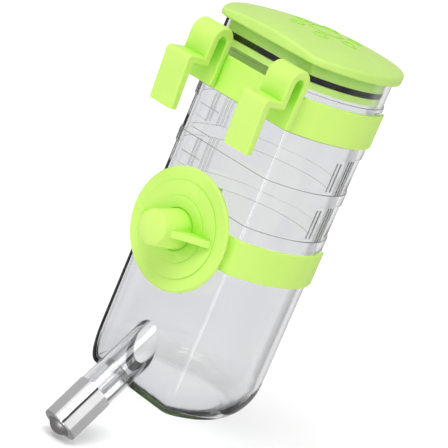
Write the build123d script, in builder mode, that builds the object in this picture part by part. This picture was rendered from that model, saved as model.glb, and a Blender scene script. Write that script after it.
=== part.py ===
"""A small-animal water bottle that hangs on a cage wall.

The clear body has a D-shaped section with its flat side towards the cage. A plug lid closes the top, a band
with two hooks and a band with a screw clamp ride in the seats round the body, and a ball nozzle slopes down
from the foot. Millimetres, +Z up, -Y towards the cage. The origin is on the axis of the body's round back,
in the plane the foot stands on.
"""

import os
from math import asin, atan2, cos, degrees, radians, sin, sqrt

from build123d import *

# ---- body ----
HALF_WIDTH = 37.0  # semi-axis of the round part along X
HALF_DEPTH = 40.4  # semi-axis of the round part along Y
FLAT_DISTANCE = 29.3  # from the axis to the flat side
CORNER_RADIUS = 5.0  # between the flat and the round part
SMALLEST_CORNER = 1.0  # of an outline that lies well inside
BODY_HEIGHT = 164.3
WALL = 2.0
FLOOR = 2.4
FOOT_RISE = 17.0  # height over which the walls turn under to the foot
FOOT_SIDE_INSET = 8.0  # how far the round part's sides come in down there
FOOT_DEPTH_INSET = 9.0
FOOT_SHIFT = 8.0  # how far the round part's centre moves forward down there
FOOT_FLAT_INSET = 2.6
FOOT_STEPS = 6
MOUTH_RADIUS = 0.6  # rounding of the open rim

# ---- seats for the bands, and the ridges between them ----
FIRST_SEAT = 68.4  # height of the lowest seat's lower edge
SEAT_PITCH = 22.0
SEAT_HEIGHT = 16.2
SEAT_COUNT = 4
RIDGE_HEIGHT = 0.55  # how far a ridge stands out of the wall
TOP_RIDGE_WIDTH = 2.2  # the narrow ridge over the highest seat

# ---- upright ribs at the sides of the seats ----
SIDE_RIB_ANGLES = (-1.5, 2.0, 10.0, 13.2, 16.4)  # round from the widest point towards the back
SHORT_RIBS = 2  # how many of them, from the first, stop short of the seat's edges
SHORT_RIB_INSET = 1.6
SIDE_RIB_WIDTH = 0.8
SIDE_RIB_HEIGHT = 0.4
SIDE_RIB_SEATS = (1, 2)

# ---- level marks on the flat side ----
MARK_HEIGHT = 0.3
MARK_THICKNESS = 0.7
MARK_LENGTHS = (11.0, 6.0)  # long and short marks in turn
MARK_LEFT = -21.0
MARK_PITCH = 5.5
MARK_FIRST = 93.1
MARK_COUNT = 7

# ---- spout and nozzle, measured along an axis that slopes down and forward ----
SPOUT_SLOPE = 50.0  # degrees below horizontal
SPOUT_FACE_HEIGHT = 19.4  # where the axis leaves the flat side
SPOUT_RADIUS = 8.2
SPOUT_BORE_RADIUS = 6.3
SPOUT_NECK_RADIUS = 7.95  # the end that the metal sleeve slides over
SPOUT_ROOT = -12.0  # how far back inside the body the tube starts
SLEEVE_START = 28.0
NECK_END = 32.4
SLEEVE_TIP = 49.7
SLEEVE_RADIUS = 8.5
SLEEVE_BORE_RADIUS = 8.0
SLEEVE_LIP_RADIUS = 5.6
SLEEVE_LIP_THICKNESS = 0.7
SLEEVE_NOSE_RADIUS = 0.9  # outer rounding at the tip
GASKET_THICKNESS = 1.5
FLANGE_THICKNESS = 2.0
VALVE_START = 14.0
VALVE_BORE_RADIUS = 2.6
SPRING_POCKET_RADIUS = 4.4
SPRING_POCKET_START = 30.6
BALL_RADIUS = 6.0
BALL_PROUD = 3.0
SPRING_WIRE_RADIUS = 0.35
SPRING_RADIUS = 3.7
SPRING_TURNS = 6
FIT_GAP = 0.05  # clearance of parts that slide or are pushed together

# ---- lid ----
LID_OVERHANG = 3.0
LID_EDGE = 3.6  # height of the lid's upright edge
LID_DOME = 5.2  # how far the dome rises above the edge
LID_TOP_EASE = 1.5
LID_BOTTOM_EASE = 1.0
DOME_CENTRE_Y = 5.0
PLUG_INSET = 2.45  # from the body's outside to the plug's outside
PLUG_WALL = 3.9
PLUG_BOTTOM = 153.7
SEAL_HEIGHT = 158.0
SEAL_THICKNESS = 2.6
GROOVE_PLAY = 0.06
BADGE_RIM = 0.35  # height of the raised outlines on the lid
BADGE_LINE = 0.9
BADGE_CENTRE_RADIUS = 8.0
BADGE_PETAL_RADIUS = 3.6
BADGE_PETAL_DISTANCE = 14.0
BADGE_PETALS = 6

# ---- bands ----
BAND_CLEARANCE = 0.05  # over the ridges
BAND_THICKNESS = 1.25
BAND_HEIGHT = 15.6
BAND_EASE = 0.5
BAND_END = 23.0  # the bands are open at the back, beyond this distance from the axis
HOOK_SEAT = 3
CLAMP_SEAT = 0

# ---- hooks, from the band forward ----
HOOK_WIDTH = 13.7
HOOK_OUTER_SIDE = 29.4
INNER_LEG = 3.5
HOOK_SLOT = 5.5
OUTER_LEG = 4.0
HOOK_TOP = 161.6
SHELF_BOTTOM = 143.8
SHELF_THICKNESS = 3.4
SHELF_REACH = 10.6  # from the outer leg's front to the prong's front
PRONG_THICKNESS = 4.7
PRONG_BOTTOM = 122.8
PRONG_LEAN_FRONT = 2.0  # how far the prong's faces come back towards its end
PRONG_LEAN_BACK = 1.1
HOOK_EASE = 0.9
SHELF_CORNER = 2.2
PRONG_CORNER = 1.5

# ---- clamp ----
CLAMP_GAP = 4.6  # room for cage wire between band and disc
STUD_DROP = 0.5  # from the band's middle down to the stud
STUD_RADIUS = 4.0
STUD_ROOT_RADIUS = 3.3
STUD_PITCH = 2.5
STUD_LENGTH = 19.0
STUD_FOOT_RADIUS = 7.0
STUD_FOOT_LENGTH = 1.6
STUD_END_GAP = 1.0  # bore left over beyond the stud
DISC_RADIUS = 26.95
DISC_THICKNESS = 2.3
DISC_STEP = 0.5
DISC_STEP_RADII = (21.0, 14.3)
DISC_RECESS_RADIUS = 9.4
BOSS_BASE_RADIUS = 8.9
BOSS_END_RADIUS = 7.7
BOSS_HEIGHT = 18.0  # in front of the disc's rim
BOSS_DOME = 1.6
BOSS_EASE = 1.3
WING_RADIUS = 20.0
WING_THICKNESS = 3.0
WING_TOP = 17.3  # where the wings' sloping edges run into the boss
WING_TURN = 6.5  # degrees, how the disc is turned as it hangs
DISC_EASE = 0.8

RIGHT_ANGLE = 90

# ---- worked out from the above ----
BAND_INSET = -(RIDGE_HEIGHT + BAND_CLEARANCE)
BAND_OUTSET = -BAND_INSET + BAND_THICKNESS
BAND_FRONT = -(FLAT_DISTANCE + BAND_OUTSET)
SEAT_PLAY = (SEAT_HEIGHT - BAND_HEIGHT) / 2
HOOK_BAND_BOTTOM = FIRST_SEAT + HOOK_SEAT * SEAT_PITCH + SEAT_PLAY
CLAMP_BAND_BOTTOM = FIRST_SEAT + CLAMP_SEAT * SEAT_PITCH + SEAT_PLAY
CLAMP_AXIS_HEIGHT = CLAMP_BAND_BOTTOM + BAND_HEIGHT / 2 - STUD_DROP
LID_TOP = BODY_HEIGHT + LID_EDGE + LID_DOME
BALL_CENTRE = SLEEVE_TIP + BALL_PROUD - BALL_RADIUS
SPOUT_FACE = (0, -FLAT_DISTANCE, SPOUT_FACE_HEIGHT)
SPOUT_DIRECTION = (0, -cos(radians(SPOUT_SLOPE)), -sin(radians(SPOUT_SLOPE)))
SPOUT_AXIS = Axis(SPOUT_FACE, SPOUT_DIRECTION)
SPOUT_PLANE = Plane(SPOUT_FACE, x_dir=(1, 0, 0), z_dir=SPOUT_DIRECTION)
# In the two section planes, x is the radius and y the distance along the axis.
SPOUT_SECTION = Plane(SPOUT_FACE, x_dir=(1, 0, 0), z_dir=(0, -SPOUT_DIRECTION[2], SPOUT_DIRECTION[1]))
STUD_BASE = (0, BAND_FRONT, CLAMP_AXIS_HEIGHT)
STUD_AXIS = Axis(STUD_BASE, (0, -1, 0))
STUD_PLANE = Plane(STUD_BASE, x_dir=(1, 0, 0), z_dir=(0, -1, 0))
STUD_SECTION = Plane(STUD_BASE, x_dir=(1, 0, 0), z_dir=(0, 0, -1))
WING_SECTION = STUD_SECTION.rotated((0, -WING_TURN, 0))


def d_outline(inset):
    """The D-shaped face: an ellipse cut off flat towards -Y, with every side moved in by inset."""
    with BuildSketch(mode=Mode.PRIVATE) as outline:
        Ellipse(HALF_WIDTH - inset, HALF_DEPTH - inset)
        with Locations((0, inset - FLAT_DISTANCE)):
            Rectangle(2 * HALF_WIDTH, HALF_DEPTH, align=(Align.CENTER, Align.MAX), mode=Mode.SUBTRACT)
        fillet(outline.vertices(), max(CORNER_RADIUS - inset, SMALLEST_CORNER))
    return outline.sketch


def foot_outline(share, inset):
    """The outline where the walls turn under: the foot's own at share 1, the walls' at share 0."""
    with BuildSketch(mode=Mode.PRIVATE) as outline:
        with Locations((0, -share * FOOT_SHIFT)):
            Ellipse(
                HALF_WIDTH - inset - share * FOOT_SIDE_INSET,
                HALF_DEPTH - inset - share * FOOT_DEPTH_INSET,
            )
        with Locations((0, inset + share * FOOT_FLAT_INSET - FLAT_DISTANCE)):
            Rectangle(2 * HALF_WIDTH, HALF_DEPTH, align=(Align.CENTER, Align.MAX), mode=Mode.SUBTRACT)
        fillet(outline.vertices(), CORNER_RADIUS - inset)
    return outline.sketch


def rounded_bottom(inset, floor):
    """The solid between two heights whose walls turn under in a quarter round towards the floor."""
    with BuildPart(mode=Mode.PRIVATE) as bottom:
        for step in range(FOOT_STEPS + 1):
            angle = radians(RIGHT_ANGLE * step / FOOT_STEPS)
            height = floor + (FOOT_RISE - floor) * (1 - cos(angle))
            with BuildSketch(Plane.XY.offset(height)):
                add(foot_outline(1 - sin(angle), inset))
        loft()
    return bottom.part


def along_spout(distance):
    """The plane across the spout's axis, so far from the flat side."""
    return SPOUT_PLANE.offset(distance)


def open_band(bottom):
    """A band round the body from the height called bottom, open at the back, with eased outer edges."""
    with BuildPart(mode=Mode.PRIVATE) as band:
        with BuildSketch(Plane.XY.offset(bottom)):
            add(band_outer_outline)
        extrude(amount=BAND_HEIGHT)
        fillet(band.faces().filter_by(Axis.Z).edges(), BAND_EASE)
        with BuildSketch(Plane.XY.offset(bottom)):
            add(band_inner_outline)
            with Locations((0, BAND_END)):
                Rectangle(2 * HALF_DEPTH, 2 * HALF_WIDTH, align=(Align.CENTER, Align.MIN))
        extrude(amount=BAND_HEIGHT, mode=Mode.SUBTRACT)
    return band.part


def d_loop(outer, inner, bottom, height):
    """A D-shaped loop between two outlines, standing on the height called bottom."""
    with BuildPart(mode=Mode.PRIVATE) as loop:
        with BuildSketch(Plane.XY.offset(bottom)):
            add(outer)
            add(inner, mode=Mode.SUBTRACT)
        extrude(amount=height)
    return loop.part


wall_outline = d_outline(0)
chamber_outline = d_outline(WALL)
ridge_outline = d_outline(-RIDGE_HEIGHT)
band_inner_outline = d_outline(BAND_INSET)
band_outer_outline = d_outline(-BAND_OUTSET)
lid_outline = d_outline(-LID_OVERHANG)
plug_outline = d_outline(PLUG_INSET)
plug_bore_outline = d_outline(PLUG_INSET + PLUG_WALL)
groove_floor_outline = d_outline(WALL + FIT_GAP + SEAL_THICKNESS + GROOVE_PLAY)
seal_path_outline = d_outline(WALL + FIT_GAP + SEAL_THICKNESS / 2)

# ---- bottle body ----
with BuildPart() as chamber:
    add(rounded_bottom(WALL, FLOOR))
    with BuildSketch(Plane.XY.offset(FOOT_RISE)):
        add(chamber_outline)
    extrude(amount=BODY_HEIGHT)

with BuildPart() as bottle_body:
    add(rounded_bottom(0, 0))
    with BuildSketch(Plane.XY.offset(FOOT_RISE)):
        add(wall_outline)
    extrude(amount=BODY_HEIGHT - FOOT_RISE)

    for seat in range(1, SEAT_COUNT + 1):
        ridge_bottom = FIRST_SEAT + (seat - 1) * SEAT_PITCH + SEAT_HEIGHT
        ridge_width = SEAT_PITCH - SEAT_HEIGHT if seat < SEAT_COUNT else TOP_RIDGE_WIDTH
        with BuildSketch(Plane.XY.offset(ridge_bottom)):
            add(ridge_outline)
        extrude(amount=ridge_width)

    for seat in SIDE_RIB_SEATS:
        for number, angle in enumerate(SIDE_RIB_ANGLES):
            rib_inset = SHORT_RIB_INSET if number < SHORT_RIBS else 0
            for side in (1, -1):
                rib_x = side * HALF_WIDTH * cos(radians(angle))
                rib_y = HALF_DEPTH * sin(radians(angle))
                rib_bottom = FIRST_SEAT + seat * SEAT_PITCH + rib_inset
                with BuildSketch(Plane.XY.offset(rib_bottom)):
                    with Locations(Location((rib_x, rib_y), side * angle)):
                        Rectangle(2 * SIDE_RIB_HEIGHT, SIDE_RIB_WIDTH)
                extrude(amount=SEAT_HEIGHT - 2 * rib_inset)

    for mark in range(MARK_COUNT):
        with BuildSketch(Plane.XZ.offset(FLAT_DISTANCE - WALL / 2)):
            with Locations((MARK_LEFT, MARK_FIRST + mark * MARK_PITCH)):
                Rectangle(MARK_LENGTHS[mark % 2], MARK_THICKNESS, align=(Align.MIN, Align.CENTER))
        extrude(amount=WALL / 2 + MARK_HEIGHT)

    with BuildSketch(along_spout(SPOUT_ROOT)):
        Circle(SPOUT_RADIUS)
    extrude(amount=SLEEVE_START - SPOUT_ROOT)
    with BuildSketch(along_spout(SLEEVE_START)):
        Circle(SPOUT_NECK_RADIUS)
    extrude(amount=NECK_END - SLEEVE_START)

    add(chamber.part, mode=Mode.SUBTRACT)
    with BuildSketch(along_spout(SPOUT_ROOT)):
        Circle(SPOUT_BORE_RADIUS)
    extrude(amount=NECK_END - SPOUT_ROOT, mode=Mode.SUBTRACT)
    fillet(bottle_body.faces().sort_by(Axis.Z)[-1].edges(), MOUTH_RADIUS)

# ---- lid ----
dome_radius = ((HALF_DEPTH + LID_OVERHANG) ** 2 + LID_DOME**2) / (2 * LID_DOME)
with BuildPart() as dome_limit:
    with Locations((0, DOME_CENTRE_Y, LID_TOP - dome_radius)):
        Sphere(dome_radius)

with BuildPart() as badge_limit:
    with Locations((0, DOME_CENTRE_Y, LID_TOP - dome_radius)):
        Sphere(dome_radius + BADGE_RIM)

with BuildPart() as badge:
    with BuildSketch(Plane.XY.offset(BODY_HEIGHT + LID_EDGE / 2)):
        with Locations((0, DOME_CENTRE_Y)):
            Circle(BADGE_CENTRE_RADIUS)
            Circle(BADGE_CENTRE_RADIUS - BADGE_LINE, mode=Mode.SUBTRACT)
            with PolarLocations(BADGE_PETAL_DISTANCE, BADGE_PETALS):
                Circle(BADGE_PETAL_RADIUS)
                Circle(BADGE_PETAL_RADIUS - BADGE_LINE, mode=Mode.SUBTRACT)
    extrude(amount=LID_EDGE + LID_DOME)
    add(badge_limit.part, mode=Mode.INTERSECT)

with BuildPart() as lid_cap:
    with BuildSketch(Plane.XY.offset(BODY_HEIGHT)):
        add(lid_outline)
    extrude(amount=LID_EDGE + LID_DOME)
    add(dome_limit.part, mode=Mode.INTERSECT)
    fillet(lid_cap.faces().sort_by(Axis.Z)[-1].edges(), LID_TOP_EASE)
    fillet(lid_cap.faces().sort_by(Axis.Z)[0].edges(), LID_BOTTOM_EASE)
    add(badge.part)
    add(d_loop(plug_outline, plug_bore_outline, PLUG_BOTTOM, BODY_HEIGHT - PLUG_BOTTOM))
    groove_bottom = SEAL_HEIGHT - SEAL_THICKNESS / 2 - GROOVE_PLAY
    groove_height = SEAL_THICKNESS + 2 * GROOVE_PLAY
    add(d_loop(wall_outline, groove_floor_outline, groove_bottom, groove_height), mode=Mode.SUBTRACT)

with BuildPart() as lid_seal:
    with BuildLine() as seal_path:
        add(Plane.XY.offset(SEAL_HEIGHT).location * seal_path_outline.face().outer_wire())
    with BuildSketch(Plane(seal_path.line @ 0, z_dir=seal_path.line % 0)):
        Circle(SEAL_THICKNESS / 2)
    sweep()

# ---- hook band ----
leg_front = BAND_FRONT - INNER_LEG
outer_back = leg_front - HOOK_SLOT
outer_front = outer_back - OUTER_LEG
prong_front = outer_front - SHELF_REACH
prong_back = prong_front + PRONG_THICKNESS
shelf_top = SHELF_BOTTOM + SHELF_THICKNESS
arch_y = (leg_front + outer_back) / 2
hook_middle = (outer_front + BAND_FRONT) / 2
arch_z = HOOK_TOP - OUTER_LEG - HOOK_SLOT / 2
hook_bottom = HOOK_BAND_BOTTOM + HOOK_EASE
hook_centre = HOOK_OUTER_SIDE - HOOK_WIDTH / 2
pad_width = HOOK_WIDTH - 2 * HOOK_EASE

with BuildPart() as hook:
    with BuildSketch(Plane.YZ) as hook_side:
        with BuildLine():
            Polyline(
                (outer_back, arch_z),
                (outer_back, SHELF_BOTTOM),
                (prong_back, SHELF_BOTTOM),
                (prong_back + PRONG_LEAN_BACK, PRONG_BOTTOM),
                (prong_front + PRONG_LEAN_FRONT, PRONG_BOTTOM),
                (prong_front, shelf_top),
                (outer_front, shelf_top),
                (outer_front, arch_z),
            )
            ThreePointArc((outer_front, arch_z), (hook_middle, HOOK_TOP), (BAND_FRONT, arch_z))
            Polyline(
                (BAND_FRONT, arch_z),
                (BAND_FRONT, hook_bottom),
                (leg_front, hook_bottom),
                (leg_front, arch_z),
            )
            ThreePointArc((leg_front, arch_z), (arch_y, arch_z + HOOK_SLOT / 2), (outer_back, arch_z))
        make_face()
        shelf_corner = hook_side.vertices().sort_by(Axis.X)[0]
        prong_end = hook_side.vertices().group_by(Axis.Y)[0]
        fillet(shelf_corner, SHELF_CORNER)
        fillet(prong_end, PRONG_CORNER)
    extrude(amount=HOOK_WIDTH / 2, both=True)
    fillet(hook.faces().filter_by(Axis.X).edges(), HOOK_EASE)

with BuildPart() as hook_band:
    add(open_band(HOOK_BAND_BOTTOM))
    for side in (1, -1):
        with BuildSketch(Plane.XY.offset(HOOK_BAND_BOTTOM + HOOK_EASE)):
            with Locations((side * hook_centre, leg_front + HOOK_EASE)):
                Rectangle(pad_width, INNER_LEG + CORNER_RADIUS, align=(Align.CENTER, Align.MIN))
            add(band_inner_outline, mode=Mode.SUBTRACT)
        extrude(amount=BAND_HEIGHT - 2 * HOOK_EASE)
        with Locations((side * hook_centre, 0, 0)):
            add(hook.part)

# ---- clamp band with its threaded stud ----
with BuildPart() as clamp_band:
    add(open_band(CLAMP_BAND_BOTTOM))
    with BuildSketch(STUD_PLANE.offset(-BAND_THICKNESS / 2)):
        Circle(STUD_FOOT_RADIUS)
    extrude(amount=BAND_THICKNESS / 2 + STUD_FOOT_LENGTH)
    with BuildSketch(STUD_PLANE):
        Circle(STUD_ROOT_RADIUS)
    extrude(amount=STUD_LENGTH)
    thread_turns = int((STUD_LENGTH - STUD_FOOT_LENGTH) / STUD_PITCH)
    thread_taper = degrees(atan2(STUD_RADIUS - STUD_ROOT_RADIUS, STUD_PITCH / 2))
    for turn in range(thread_turns):
        crest = STUD_LENGTH - STUD_PITCH / 2 - turn * STUD_PITCH
        with BuildSketch(STUD_PLANE.offset(crest - STUD_PITCH / 2)):
            Circle(STUD_ROOT_RADIUS)
        extrude(amount=STUD_PITCH / 2, taper=-thread_taper)
        with BuildSketch(STUD_PLANE.offset(crest)):
            Circle(STUD_RADIUS)
        extrude(amount=STUD_PITCH / 2, taper=thread_taper)

# ---- clamp disc, a wide wing nut ----
disc_back = CLAMP_GAP
disc_front = disc_back + DISC_THICKNESS
boss_top = disc_front + BOSS_HEIGHT
cap_radius = (BOSS_END_RADIUS**2 + BOSS_DOME**2) / (2 * BOSS_DOME)
half_angle = asin(BOSS_END_RADIUS / cap_radius) / 2
cap_middle = (cap_radius * sin(half_angle), boss_top - cap_radius * (1 - cos(half_angle)))
step_one = disc_front + DISC_STEP
step_two = disc_front + 2 * DISC_STEP
with BuildPart() as clamp_disc:
    with BuildSketch(STUD_SECTION):
        with BuildLine():
            Polyline(
                (0, disc_back),
                (DISC_RADIUS - DISC_EASE, disc_back),
                (DISC_RADIUS, disc_back + DISC_EASE),
                (DISC_RADIUS, disc_front - DISC_EASE),
                (DISC_RADIUS - DISC_EASE, disc_front),
                (DISC_STEP_RADII[0], disc_front),
                (DISC_STEP_RADII[0], step_one),
                (DISC_STEP_RADII[1], step_one),
                (DISC_STEP_RADII[1], step_two),
                (DISC_RECESS_RADIUS, step_two),
                (DISC_RECESS_RADIUS, step_one),
                (BOSS_BASE_RADIUS, step_one),
                (BOSS_END_RADIUS, boss_top - BOSS_DOME),
            )
            ThreePointArc((BOSS_END_RADIUS, boss_top - BOSS_DOME), cap_middle, (0, boss_top))
            Line((0, boss_top), (0, disc_back))
        make_face()
    revolve(axis=STUD_AXIS)
    boss_rim = clamp_disc.edges().filter_by(GeomType.CIRCLE).filter_by(Plane.XZ).sort_by(Axis.Y)[0]
    fillet(boss_rim, BOSS_EASE)
    with BuildSketch(WING_SECTION):
        with BuildLine():
            Polyline(
                (-WING_RADIUS, disc_front),
                (WING_RADIUS, disc_front),
                (WING_RADIUS, step_two),
                (WING_THICKNESS, disc_front + WING_TOP),
                (-WING_THICKNESS, disc_front + WING_TOP),
                (-WING_RADIUS, step_two),
                close=True,
            )
        make_face()
    extrude(amount=WING_THICKNESS / 2, both=True)
    with BuildSketch(STUD_PLANE):
        Circle(STUD_RADIUS + FIT_GAP)
    extrude(amount=STUD_LENGTH + STUD_END_GAP, mode=Mode.SUBTRACT)

# ---- nozzle ----
flange_start = NECK_END + GASKET_THICKNESS
flange_end = flange_start + FLANGE_THICKNESS
lip_inside = SLEEVE_TIP - SLEEVE_LIP_THICKNESS
with BuildPart() as nozzle_sleeve:
    with BuildSketch(SPOUT_SECTION) as sleeve_section:
        with BuildLine():
            Polyline(
                (SLEEVE_BORE_RADIUS, SLEEVE_START),
                (SLEEVE_RADIUS, SLEEVE_START),
                (SLEEVE_RADIUS, SLEEVE_TIP),
                (SLEEVE_LIP_RADIUS, SLEEVE_TIP),
                (SLEEVE_LIP_RADIUS, lip_inside),
                (SLEEVE_BORE_RADIUS, lip_inside),
                close=True,
            )
        make_face()
        nose = sleeve_section.vertices().sort_by(lambda corner: corner.X + corner.Y)[-1]
        fillet(nose, SLEEVE_NOSE_RADIUS)
    revolve(axis=SPOUT_AXIS)

with BuildPart() as valve_insert:
    with BuildSketch(SPOUT_SECTION):
        with BuildLine():
            Polyline(
                (VALVE_BORE_RADIUS, VALVE_START),
                (SPOUT_BORE_RADIUS - FIT_GAP, VALVE_START),
                (SPOUT_BORE_RADIUS - FIT_GAP, flange_start),
                (SPOUT_NECK_RADIUS, flange_start),
                (SPOUT_NECK_RADIUS, flange_end),
                (SPRING_POCKET_RADIUS, flange_end),
                (SPRING_POCKET_RADIUS, SPRING_POCKET_START),
                (VALVE_BORE_RADIUS, SPRING_POCKET_START),
                close=True,
            )
        make_face()
    revolve(axis=SPOUT_AXIS)

with BuildPart() as nozzle_gasket:
    with BuildSketch(along_spout(NECK_END)):
        Circle(SPOUT_NECK_RADIUS)
        Circle(SPOUT_BORE_RADIUS, mode=Mode.SUBTRACT)
    extrude(amount=GASKET_THICKNESS)

with BuildPart() as ball_seat:
    with BuildSketch(along_spout(BALL_CENTRE)):
        Circle(SPOUT_NECK_RADIUS)
    extrude(amount=lip_inside - FIT_GAP - BALL_CENTRE)
    with Locations(along_spout(BALL_CENTRE).location):
        Sphere(BALL_RADIUS + FIT_GAP, mode=Mode.SUBTRACT)

with BuildPart() as tip_ball:
    with Locations(along_spout(BALL_CENTRE).location):
        Sphere(BALL_RADIUS)

spring_start = SPRING_POCKET_START + SPRING_WIRE_RADIUS + FIT_GAP
spring_end = BALL_CENTRE - sqrt((BALL_RADIUS + SPRING_WIRE_RADIUS) ** 2 - SPRING_RADIUS**2) - FIT_GAP
spring_height = spring_end - spring_start
with BuildPart() as valve_spring:
    with BuildLine() as coil:
        Helix(
            pitch=spring_height / SPRING_TURNS,
            height=spring_height,
            radius=SPRING_RADIUS,
            center=along_spout(spring_start).origin,
            direction=SPOUT_DIRECTION,
        )
    with BuildSketch(Plane(coil.line @ 0, z_dir=coil.line % 0)):
        Circle(SPRING_WIRE_RADIUS)
    sweep(is_frenet=True)

# ---- write each piece ----
pieces = {
    "bottle_body": bottle_body,
    "lid_cap": lid_cap,
    "lid_seal": lid_seal,
    "hook_band": hook_band,
    "clamp_band": clamp_band,
    "clamp_disc": clamp_disc,
    "nozzle_sleeve": nozzle_sleeve,
    "valve_insert": valve_insert,
    "nozzle_gasket": nozzle_gasket,
    "ball_seat": ball_seat,
    "tip_ball": tip_ball,
    "valve_spring": valve_spring,
}
os.makedirs("parts", exist_ok=True)
for name, piece in pieces.items():
    piece.part.label = name
    export_step(piece.part, f"parts/{name}.step")
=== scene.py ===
"""Looks for a small-animal water bottle: clear body, lime plastic fittings, steel nozzle. Metres, +Z up."""

from math import cos, pi, radians, sin

import bpy
from mathutils import Matrix, Vector


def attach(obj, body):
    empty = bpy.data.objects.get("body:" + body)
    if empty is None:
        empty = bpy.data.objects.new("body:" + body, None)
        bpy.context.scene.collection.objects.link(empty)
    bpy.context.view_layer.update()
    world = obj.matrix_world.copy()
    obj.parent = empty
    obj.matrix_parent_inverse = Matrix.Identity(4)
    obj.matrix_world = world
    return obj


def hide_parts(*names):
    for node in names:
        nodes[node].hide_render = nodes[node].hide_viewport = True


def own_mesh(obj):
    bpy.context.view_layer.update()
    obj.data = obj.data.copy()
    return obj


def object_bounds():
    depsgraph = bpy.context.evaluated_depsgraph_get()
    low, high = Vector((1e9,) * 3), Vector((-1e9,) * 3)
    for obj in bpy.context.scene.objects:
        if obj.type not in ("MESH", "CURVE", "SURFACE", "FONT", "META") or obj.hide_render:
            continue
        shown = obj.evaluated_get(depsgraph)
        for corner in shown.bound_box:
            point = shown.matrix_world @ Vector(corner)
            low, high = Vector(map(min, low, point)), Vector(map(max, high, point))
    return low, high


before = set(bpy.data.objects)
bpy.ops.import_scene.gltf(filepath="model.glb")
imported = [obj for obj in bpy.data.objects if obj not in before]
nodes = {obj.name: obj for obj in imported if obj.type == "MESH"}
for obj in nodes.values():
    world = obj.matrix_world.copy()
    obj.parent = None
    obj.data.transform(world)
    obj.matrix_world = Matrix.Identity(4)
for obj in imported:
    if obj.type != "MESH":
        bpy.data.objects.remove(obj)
size_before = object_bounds()
scene = bpy.context.scene

MM = 0.001
HALF = 0.5
UPRIGHT = (0, 0, 1)
SIDEWAYS = (1, 0, 0)

# ---- camera ----
CAMERA_AZIMUTH = 36.32
CAMERA_ELEVATION = 13.77
CAMERA_ROLL = 22.92
CAMERA_DISTANCE = 859 * MM
CAMERA_LENS = 158.2
CAMERA_NEAR = 10 * MM
AIM_FROM_CENTRE = Vector((-4.1, 9.0, 3.7)) * MM
CAMERA_LEVEL = 90  # the turn from looking straight down to looking level
MATRIX_SIZE = 4

# ---- spout ----
SPOUT_SLOPE = 50
SPOUT_DIRECTION = Vector((0, -cos(radians(SPOUT_SLOPE)), -sin(radians(SPOUT_SLOPE))))
SPOUT_UP = Vector((0, -sin(radians(SPOUT_SLOPE)), cos(radians(SPOUT_SLOPE))))

# ---- soft edges ----
EDGE_SOFTNESS = 0.45 * MM
STEP_SOFTNESS = 0.2 * MM
RIDGE_SOFTNESS = 0.25 * MM
EDGE_SEGMENTS = 2
SHARP_ANGLE = 40
WELD_GAP = 0.002 * MM

# ---- stage and lamps ----
FLOOR_GAP = 0.4 * MM
FLOOR_SIZE = 30.0
FLOOR_COLOUR = (0.9, 0.9, 0.9)
FLOOR_ROUGHNESS = 0.9
FLOOR_GLOW = 0.2
WHITE = (1, 1, 1)
KEY_DIRECTION = (0.13, -0.47, 0.87)
KEY_ANGLE = 36
KEY_STRENGTH = 1.9
FILL_DIRECTION = (-0.5, -0.8, -0.15)
FILL_ANGLE = 25
FILL_STRENGTH = 0.45

# ---- the studio round the bottle ----
WHITE_TO_CAMERA = 1.0
WORLD_STRENGTH = 0.51  # as light on the pieces
BEHIND_CLEAR = 1.5  # brightness added to light that reaches a piece through clear plastic
CLEAR_TILT = 0.24  # how far above the line of sight the middle of the white zone is
# In each table, a pair is a place from 0 to 1 and the brightness there.
# For light bent up or down, by how far it points from the middle of the white zone:
CLEAR_UPRIGHT = (
    (0.0, 1.0),
    (0.3, 1.0),
    (0.38, 0.86),
    (0.46, 0.82),
    (0.52, 0.3),
    (0.6, 0.05),
    (1.0, 0.05),
)
# For light bent sideways, by how far it points from the line of sight:
CLEAR_SIDEWAYS = (
    (0.0, 1.0),
    (0.14, 1.0),
    (0.2, 0.45),
    (0.26, 0.5),
    (0.32, 1.0),
    (0.55, 1.0),
    (0.63, 0.4),
    (0.72, 1.0),
    (0.86, 0.9),
    (0.93, 0.4),
    (1.0, 0.7),
)
# The tent that shiny parts show: two equal white panels that meet at a thin dark seam on the
# camera's side of the nozzle, and grey behind them.
TENT_SEAM_SIDE = 0.65  # where round the nozzle the camera stands, as a share of a turn
TENT_SEAM_REACH = 0.01  # half the dark seam's width
TENT_PANEL_REACH = 0.17  # from the seam's middle to a panel's outer edge
TENT_FADE = 0.02
TENT_SEAM = 0.05
TENT_PANEL = 1.0
TENT_BEHIND = 0.5
SHINY_SEAMS = (
    (TENT_SEAM_SIDE - TENT_PANEL_REACH - TENT_FADE, TENT_BEHIND),
    (TENT_SEAM_SIDE - TENT_PANEL_REACH, TENT_PANEL),
    (TENT_SEAM_SIDE - TENT_SEAM_REACH - TENT_FADE, TENT_PANEL),
    (TENT_SEAM_SIDE - TENT_SEAM_REACH, TENT_SEAM),
    (TENT_SEAM_SIDE + TENT_SEAM_REACH, TENT_SEAM),
    (TENT_SEAM_SIDE + TENT_SEAM_REACH + TENT_FADE, TENT_PANEL),
    (TENT_SEAM_SIDE + TENT_PANEL_REACH, TENT_PANEL),
    (TENT_SEAM_SIDE + TENT_PANEL_REACH + TENT_FADE, TENT_BEHIND),
)
# From directions back along the nozzle to directions out of its tip:
SHINY_ENDS = ((0.0, 1.0), (0.39, 1.0), (0.45, 0.6))
STRIP_DIRECTION = Vector((0.39, -0.89, -0.24))
# By how far a direction points towards the strip:
SHINY_STRIP = ((0.97, 0.0), (0.985, 1.0))
STRIP_GAIN = 11.0

# ---- how often light is followed on ----
MAX_BOUNCES = 24
TRANSMISSION_BOUNCES = 16
TRANSPARENT_BOUNCES = 16
GLOSSY_BOUNCES = 12
DIFFUSE_BOUNCES = 5

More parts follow.
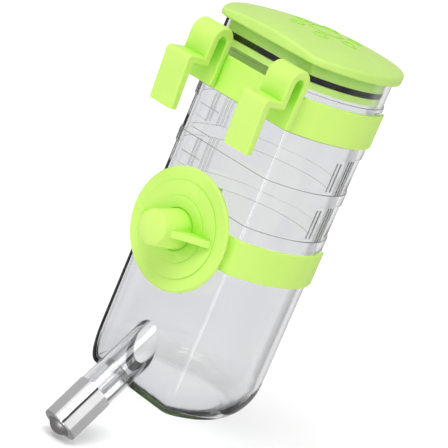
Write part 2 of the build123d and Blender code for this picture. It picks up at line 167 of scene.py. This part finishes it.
# ---- patterns: sizes are in features to the metre ----
MIDDLE_OF_NOISE = (0.3, 0.7)
FULL = (0, 1)
COARSE_DETAIL = 1.0
FINE_DETAIL = 2.0
CLOUD_DETAIL = 3.0

# ---- lime plastic ----
LIME = (0.645, 0.92, 0.19)
LIME_DEEP = (0.60, 0.89, 0.165)
# Painted shade: the deeper green put into recesses and inner corners by ambient occlusion
LIME_PAINTED_SHADE = (0.38, 0.80, 0.05)
LID_LIME = (0.59, 0.85, 0.20)
LID_LIME_DEEP = (0.54, 0.81, 0.18)
LIME_CLOUDS = 45
LIME_PATCHES = 160
LIME_ROUGHNESS = (0.36, 0.46)
LIME_IOR = 1.47
LIME_SUBSURFACE = 0.12
LIME_SUBSURFACE_RADIUS = (1.0, 1.0, 0.35)
LIME_SUBSURFACE_SCALE = 1.5 * MM
LIME_GRAIN = 900
LIME_GRAIN_DEPTH = 0.02 * MM
LIME_WAVES = 60
LIME_WAVE_DEPTH = 0.06 * MM
# How far and how finely ambient occlusion looks for the recesses that get painted shade
PAINTED_SHADE_REACH = 10 * MM
PAINTED_SHADE_SAMPLES = 6
PAINTED_SHADE_OPENNESS = (0.45, 0.9)

# ---- clear plastic ----
CLEAR_TINT = (0.905, 0.91, 0.92)
CLEAR_TINT_DEEP = (0.875, 0.88, 0.895)
CLEAR_SHADOW_TINT = (0.93, 0.93, 0.94)
CLEAR_CLOUDS = 30
CLEAR_PATCHES = 120
CLEAR_ROUGHNESS = (0.02, 0.05)
CLEAR_IOR = 1.45
CLEAR_SPECULAR = 0.18
CLEAR_WAVES = 55
CLEAR_WAVE_STRETCH = (1, 1, 0.35)
CLEAR_WAVE_DEPTH = 0.05 * MM

# ---- uncoloured plastic ----
NATURAL_TINT = (0.98, 0.98, 0.985)
NATURAL_TINT_DEEP = (0.95, 0.955, 0.965)
NATURAL_CLOUDS = 150
NATURAL_PATCHES = 500
NATURAL_ROUGHNESS = (0.06, 0.14)
NATURAL_TRANSMISSION = 0.97
NATURAL_GRAIN = 900
NATURAL_GRAIN_DEPTH = 0.02 * MM

# ---- steel ----
SLEEVE_STEEL = (0.93, 0.93, 0.94)
SLEEVE_ROUGHNESS = (0.06, 0.13)
SLEEVE_GRAIN = 1500
SLEEVE_GRAIN_DEPTH = 0.002 * MM
BALL_STEEL = (0.52, 0.50, 0.50)
BALL_ROUGHNESS = (0.3, 0.42)
BALL_GRAIN = 1800
BALL_GRAIN_DEPTH = 0.01 * MM
SPRING_STEEL = (0.60, 0.60, 0.61)
SPRING_ROUGHNESS = (0.2, 0.35)
SPRING_GRAIN = 2500
SPRING_GRAIN_DEPTH = 0.004 * MM
STEEL_CLOUDS = 90
STEEL_PATCHES = 300
STEEL_SHADE = 0.9  # of the colour, where it is darkest

# ---- rubber ----
BLACK_RUBBER = (0.006, 0.006, 0.007)
WHITE_SILICONE = (0.45, 0.45, 0.44)
RUBBER_CLOUDS = 200
RUBBER_LIGHTEST = 1.6  # times the colour
RUBBER_PATCHES = 400
RUBBER_ROUGHNESS = (0.4, 0.6)
RUBBER_SPECULAR = 0.12
RUBBER_GRAIN = 1200
RUBBER_GRAIN_DEPTH = 0.03 * MM


def socket(sockets, identifier):
    """A node's input or output by its identifier, for nodes that name several of them alike."""
    return next(one for one in sockets if one.identifier == identifier)


def new_material(name):
    """A material with a Principled shader and an object-space coordinate to drive its patterns."""
    material = bpy.data.materials.new(name)
    material.use_nodes = True
    tree = material.node_tree
    shader = tree.nodes["Principled BSDF"]
    place = tree.nodes.new("ShaderNodeTexCoord").outputs["Object"]
    return material, tree, shader, place


def noise(tree, place, scale, detail=CLOUD_DETAIL, stretch=None):
    """The value of a noise pattern of a given size, stretched along the axes if asked."""
    if stretch is not None:
        mapping = tree.nodes.new("ShaderNodeMapping")
        mapping.inputs["Scale"].default_value = stretch
        tree.links.new(place, mapping.inputs["Vector"])
        place = mapping.outputs["Vector"]
    pattern = tree.nodes.new("ShaderNodeTexNoise")
    pattern.inputs["Scale"].default_value = scale
    pattern.inputs["Detail"].default_value = detail
    tree.links.new(place, pattern.inputs["Vector"])
    return pattern.outputs["Fac"]


def spread(tree, value, onto=FULL, within=MIDDLE_OF_NOISE):
    """Maps a pattern's value from one range onto another, and holds it at the ends."""
    remap = tree.nodes.new("ShaderNodeMapRange")
    remap.inputs["From Min"].default_value = within[0]
    remap.inputs["From Max"].default_value = within[1]
    remap.inputs["To Min"].default_value = onto[0]
    remap.inputs["To Max"].default_value = onto[1]
    tree.links.new(value, remap.inputs["Value"])
    return remap.outputs["Result"]


def between(tree, value, colour_a, colour_b):
    """A colour that runs from one to the other with a value. Each is three numbers or a node's output."""
    mix = tree.nodes.new("ShaderNodeMix")
    mix.data_type = "RGBA"
    for identifier, colour in (("A_Color", colour_a), ("B_Color", colour_b)):
        into = socket(mix.inputs, identifier)
        if isinstance(colour, bpy.types.NodeSocket):
            tree.links.new(colour, into)
        else:
            into.default_value = (*colour, 1)
    tree.links.new(value, mix.inputs["Factor"])
    return socket(mix.outputs, "Result_Color")


def cloudy(tree, place, scale, colour_a, colour_b):
    """A colour that drifts between two."""
    return between(tree, spread(tree, noise(tree, place, scale)), colour_a, colour_b)


def roughen(tree, shader, place, scale, limits):
    """Roughness that drifts between two limits."""
    tree.links.new(spread(tree, noise(tree, place, scale), limits), shader.inputs["Roughness"])


def bump(tree, shader, height, depth):
    """Adds relief so deep, in metres, to the shader's normal."""
    node = tree.nodes.new("ShaderNodeBump")
    node.inputs["Distance"].default_value = depth
    tree.links.new(height, node.inputs["Height"])
    normal = shader.inputs["Normal"]
    if normal.is_linked:
        tree.links.new(normal.links[0].from_socket, node.inputs["Normal"])
    tree.links.new(node.outputs["Normal"], normal)


def lime_plastic(name, light, dark):
    """Moulded plastic with a faint cloudiness, painted shade (a deeper green) in its hollows and corners,
    and a fine satin grain.
    """
    material, tree, shader, place = new_material(name)
    cloud = cloudy(tree, place, LIME_CLOUDS, dark, light)
    # Painted shade: ambient occlusion turns the colour towards a deeper green in hollows and corners
    shade_probe = tree.nodes.new("ShaderNodeAmbientOcclusion")
    shade_probe.samples = PAINTED_SHADE_SAMPLES
    shade_probe.only_local = True
    shade_probe.inputs["Distance"].default_value = PAINTED_SHADE_REACH
    unshaded_share = spread(tree, shade_probe.outputs["AO"], within=PAINTED_SHADE_OPENNESS)
    tree.links.new(between(tree, unshaded_share, LIME_PAINTED_SHADE, cloud), shader.inputs["Base Color"])
    roughen(tree, shader, place, LIME_PATCHES, LIME_ROUGHNESS)
    shader.inputs["IOR"].default_value = LIME_IOR
    shader.inputs["Subsurface Weight"].default_value = LIME_SUBSURFACE
    shader.inputs["Subsurface Radius"].default_value = LIME_SUBSURFACE_RADIUS
    shader.inputs["Subsurface Scale"].default_value = LIME_SUBSURFACE_SCALE
    bump(tree, shader, noise(tree, place, LIME_GRAIN, FINE_DETAIL), LIME_GRAIN_DEPTH)
    bump(tree, shader, noise(tree, place, LIME_WAVES, COARSE_DETAIL), LIME_WAVE_DEPTH)
    return material


def clear_plastic():
    """Clear moulded plastic: slightly wavy walls with a faint haze. Lamps shine through it."""
    material, tree, shader, place = new_material("clear_plastic_look")
    tint = cloudy(tree, place, CLEAR_CLOUDS, CLEAR_TINT_DEEP, CLEAR_TINT)
    tree.links.new(tint, shader.inputs["Base Color"])
    roughen(tree, shader, place, CLEAR_PATCHES, CLEAR_ROUGHNESS)
    shader.inputs["Transmission Weight"].default_value = 1.0
    shader.inputs["IOR"].default_value = CLEAR_IOR
    shader.inputs["Specular IOR Level"].default_value = CLEAR_SPECULAR
    waves = noise(tree, place, CLEAR_WAVES, COARSE_DETAIL, CLEAR_WAVE_STRETCH)
    bump(tree, shader, waves, CLEAR_WAVE_DEPTH)
    see_through = tree.nodes.new("ShaderNodeBsdfTransparent")
    see_through.inputs["Color"].default_value = (*CLEAR_SHADOW_TINT, 1)
    ray = tree.nodes.new("ShaderNodeLightPath")
    mix = tree.nodes.new("ShaderNodeMixShader")
    tree.links.new(ray.outputs["Is Shadow Ray"], mix.inputs["Fac"])
    tree.links.new(shader.outputs["BSDF"], socket(mix.inputs, "Shader"))
    tree.links.new(see_through.outputs["BSDF"], socket(mix.inputs, "Shader_001"))
    tree.links.new(mix.outputs["Shader"], tree.nodes["Material Output"].inputs["Surface"])
    return material


def natural_plastic():
    """Uncoloured plastic, clear with a faint milkiness."""
    material, tree, shader, place = new_material("natural_plastic_look")
    tint = cloudy(tree, place, NATURAL_CLOUDS, NATURAL_TINT_DEEP, NATURAL_TINT)
    tree.links.new(tint, shader.inputs["Base Color"])
    roughen(tree, shader, place, NATURAL_PATCHES, NATURAL_ROUGHNESS)
    shader.inputs["Transmission Weight"].default_value = NATURAL_TRANSMISSION
    shader.inputs["IOR"].default_value = CLEAR_IOR
    bump(tree, shader, noise(tree, place, NATURAL_GRAIN, FINE_DETAIL), NATURAL_GRAIN_DEPTH)
    return material


def steel(name, colour, roughness, grain, depth):
    """Bare steel with a fine grain."""
    material, tree, shader, place = new_material(name)
    shade = [STEEL_SHADE * channel for channel in colour]
    tree.links.new(cloudy(tree, place, STEEL_CLOUDS, shade, colour), shader.inputs["Base Color"])
    shader.inputs["Metallic"].default_value = 1.0
    roughen(tree, shader, place, STEEL_PATCHES, roughness)
    bump(tree, shader, noise(tree, place, grain, FINE_DETAIL), depth)
    return material


def rubber(name, colour):
    """Matt rubber with a slightly uneven skin."""
    material, tree, shader, place = new_material(name)
    lighter = [RUBBER_LIGHTEST * channel for channel in colour]
    tree.links.new(cloudy(tree, place, RUBBER_CLOUDS, colour, lighter), shader.inputs["Base Color"])
    roughen(tree, shader, place, RUBBER_PATCHES, RUBBER_ROUGHNESS)
    shader.inputs["Specular IOR Level"].default_value = RUBBER_SPECULAR
    bump(tree, shader, noise(tree, place, RUBBER_GRAIN, FINE_DETAIL), RUBBER_GRAIN_DEPTH)
    return material


sleeve_steel = steel("sleeve_steel_look", SLEEVE_STEEL, SLEEVE_ROUGHNESS, SLEEVE_GRAIN, SLEEVE_GRAIN_DEPTH)
spring_steel = steel("spring_steel_look", SPRING_STEEL, SPRING_ROUGHNESS, SPRING_GRAIN, SPRING_GRAIN_DEPTH)
looks = {
    "bottle_body": clear_plastic(),
    "lid_cap": lime_plastic("lid_lime_look", LID_LIME, LID_LIME_DEEP),
    "hook_band": lime_plastic("lime_look", LIME, LIME_DEEP),
    "lid_seal": rubber("black_rubber_look", BLACK_RUBBER),
    "nozzle_gasket": rubber("white_silicone_look", WHITE_SILICONE),
    "nozzle_sleeve": sleeve_steel,
    "tip_ball": steel("ball_steel_look", BALL_STEEL, BALL_ROUGHNESS, BALL_GRAIN, BALL_GRAIN_DEPTH),
    "valve_spring": spring_steel,
    "valve_insert": natural_plastic(),
}
looks["clamp_band"] = looks["hook_band"]
looks["clamp_disc"] = looks["hook_band"]
looks["ball_seat"] = looks["valve_insert"]
for name, look in looks.items():
    for material_slot in nodes[name].material_slots:
        material_slot.material = look


def soften(node, width):
    """Rounds a moulded part's sharp edges a little, with modifiers, and leaves its mesh alone."""
    weld = node.modifiers.new("weld", "WELD")
    weld.merge_threshold = WELD_GAP
    bevel = node.modifiers.new("soft_edges", "BEVEL")
    bevel.width = width
    bevel.segments = EDGE_SEGMENTS
    bevel.limit_method = "ANGLE"
    bevel.angle_limit = radians(SHARP_ANGLE)
    node.modifiers.new("normals", "WEIGHTED_NORMAL")


soften(nodes["hook_band"], EDGE_SOFTNESS)
soften(nodes["clamp_band"], EDGE_SOFTNESS)
soften(nodes["clamp_disc"], STEP_SOFTNESS)
soften(nodes["bottle_body"], RIDGE_SOFTNESS)

# ---- the valve's coil, a copy with a mesh of its own, stands for valve_spring, which is hidden ----
coil = bpy.data.objects.new("valve_coil", nodes["valve_spring"].data.copy())
scene.collection.objects.link(coil)
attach(coil, "bottle")
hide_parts("valve_spring")
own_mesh(coil)

# ---- floor, which glows a little and isn't seen through or mirrored by the pieces ----
low, high = size_before
bpy.ops.mesh.primitive_plane_add(size=FLOOR_SIZE, location=(0, 0, low.z - FLOOR_GAP))
floor = bpy.context.object
floor.name = "floor"
floor_look = bpy.data.materials.new("floor_look")
floor_look.use_nodes = True
floor_shader = floor_look.node_tree.nodes["Principled BSDF"]
floor_shader.inputs["Base Color"].default_value = (*FLOOR_COLOUR, 1)
floor_shader.inputs["Roughness"].default_value = FLOOR_ROUGHNESS
floor_shader.inputs["Emission Color"].default_value = (*WHITE, 1)
floor_shader.inputs["Emission Strength"].default_value = FLOOR_GLOW
floor.data.materials.append(floor_look)
floor.visible_glossy = False
floor.visible_transmission = False


# ---- light ----
def softbox(name, towards, angle, strength):
    """A lamp so far off that its light comes from one direction, as wide as the angle."""
    lamp = bpy.data.lights.new(name, "SUN")
    lamp.energy = strength
    lamp.angle = radians(angle)
    box = bpy.data.objects.new(name, lamp)
    scene.collection.objects.link(box)
    box.rotation_mode = "QUATERNION"
    box.rotation_quaternion = Vector(towards).to_track_quat("Z", "Y")
    return box


softbox("key", KEY_DIRECTION, KEY_ANGLE, KEY_STRENGTH)
fill = softbox("fill", FILL_DIRECTION, FILL_ANGLE, FILL_STRENGTH)
fill.visible_glossy = False
fill.visible_transmission = False

world = bpy.data.worlds.new("studio")
scene.world = world
world.use_nodes = True
studio = world.node_tree
direction = studio.nodes.new("ShaderNodeTexCoord").outputs["Generated"]


def feed(into, source):
    """Gives an input a node's output or a plain value."""
    if isinstance(source, bpy.types.NodeSocket):
        studio.links.new(source, into)
    else:
        into.default_value = source


def vector_maths(operation, *sources):
    """One Vector Math node on outputs or plain vectors."""
    step = studio.nodes.new("ShaderNodeVectorMath")
    step.operation = operation
    for into, source in zip(step.inputs, sources, strict=False):
        feed(into, source)
    return step.outputs


def maths(operation, *sources):
    """One Math node on outputs or plain numbers."""
    step = studio.nodes.new("ShaderNodeMath")
    step.operation = operation
    for into, source in zip(step.inputs, sources, strict=False):
        feed(into, source)
    return step.outputs["Value"]


def along(axis, towards=direction):
    """How far a direction, or else the one looked in, points along an axis, from -1 to 1."""
    return vector_maths("DOT_PRODUCT", towards, axis)["Value"]


def from_zero(value):
    """Maps -1 to 1 onto 0 to 1."""
    return maths("MULTIPLY_ADD", value, HALF, HALF)


def ramp(value, stops):
    """A grey for each value from 0 to 1, straight between the stops."""
    node = studio.nodes.new("ShaderNodeValToRGB")
    elements = node.color_ramp.elements
    while len(elements) < len(stops):
        elements.new(HALF)
    for element, (position, grey) in zip(elements, stops, strict=True):
        element.position = position
        element.color = (grey, grey, grey, 1)
    studio.links.new(value, node.inputs["Fac"])
    return node.outputs["Color"]


# Clear parts show white straight behind them, and darker zones for light they bend up, down or sideways.
# The zones follow the camera: level and lift are its sideways and upward directions, without its roll.
to_world = studio.nodes.new("ShaderNodeVectorTransform")
to_world.vector_type = "VECTOR"
to_world.convert_from = "CAMERA"
to_world.convert_to = "WORLD"
to_world.inputs["Vector"].default_value = UPRIGHT
view_axis = to_world.outputs["Vector"]
level = vector_maths("NORMALIZE", vector_maths("CROSS_PRODUCT", view_axis, UPRIGHT)["Vector"])["Vector"]
lift = vector_maths("CROSS_PRODUCT", level, view_axis)["Vector"]
tilted = maths("ABSOLUTE", maths("SUBTRACT", along(lift), CLEAR_TILT))
turned = maths("ABSOLUTE", along(level))
seen_clear = maths("MULTIPLY", ramp(tilted, CLEAR_UPRIGHT), ramp(turned, CLEAR_SIDEWAYS))

# Shiny parts show a white tent with one dark seam that runs along the nozzle, and a bright strip in front.
across = maths("ARCTAN2", along(SPOUT_UP), along(SIDEWAYS))
seams = ramp(from_zero(maths("DIVIDE", across, pi)), SHINY_SEAMS)
tent = maths("MULTIPLY", seams, ramp(from_zero(along(SPOUT_DIRECTION)), SHINY_ENDS))
strip = ramp(along(STRIP_DIRECTION.normalized()), SHINY_STRIP)
seen_shiny = maths("MULTIPLY", tent, maths("MULTIPLY_ADD", strip, STRIP_GAIN, 1.0))

path = studio.nodes.new("ShaderNodeLightPath")


def chosen(when, otherwise, then):
    """One of two values, by the kind of ray."""
    mix = studio.nodes.new("ShaderNodeMix")
    studio.links.new(path.outputs[when], mix.inputs["Factor"])
    feed(socket(mix.inputs, "A_Float"), otherwise)
    feed(socket(mix.inputs, "B_Float"), then)
    return socket(mix.outputs, "Result_Float")


seen_past = maths("MULTIPLY_ADD", path.outputs["Diffuse Depth"], BEHIND_CLEAR, seen_clear)
seen = chosen("Is Transmission Ray", seen_shiny, seen_past)
seen = chosen("Is Diffuse Ray", seen, WORLD_STRENGTH)
seen = chosen("Is Camera Ray", seen, WHITE_TO_CAMERA)
background = studio.nodes["Background"]
background.inputs["Color"].default_value = (*WHITE, 1)
studio.links.new(seen, background.inputs["Strength"])

# ---- camera ----
camera_data = bpy.data.cameras.new("camera")
camera_data.lens = CAMERA_LENS
camera_data.clip_start = CAMERA_NEAR
camera = bpy.data.objects.new("camera", camera_data)
scene.collection.objects.link(camera)
scene.camera = camera
camera.matrix_world = (
    Matrix.Translation((low + high) / 2 + AIM_FROM_CENTRE)
    @ Matrix.Rotation(radians(CAMERA_AZIMUTH), MATRIX_SIZE, "Z")
    @ Matrix.Rotation(radians(CAMERA_LEVEL - CAMERA_ELEVATION), MATRIX_SIZE, "X")
    @ Matrix.Rotation(radians(CAMERA_ROLL), MATRIX_SIZE, "Z")
    @ Matrix.Translation((0, 0, CAMERA_DISTANCE))
)

scene.view_settings.view_transform = "Standard"
scene.cycles.max_bounces = MAX_BOUNCES
scene.cycles.transmission_bounces = TRANSMISSION_BOUNCES
scene.cycles.transparent_max_bounces = TRANSPARENT_BOUNCES
scene.cycles.glossy_bounces = GLOSSY_BOUNCES
scene.cycles.diffuse_bounces = DIFFUSE_BOUNCES
scene.cycles.use_denoising = True
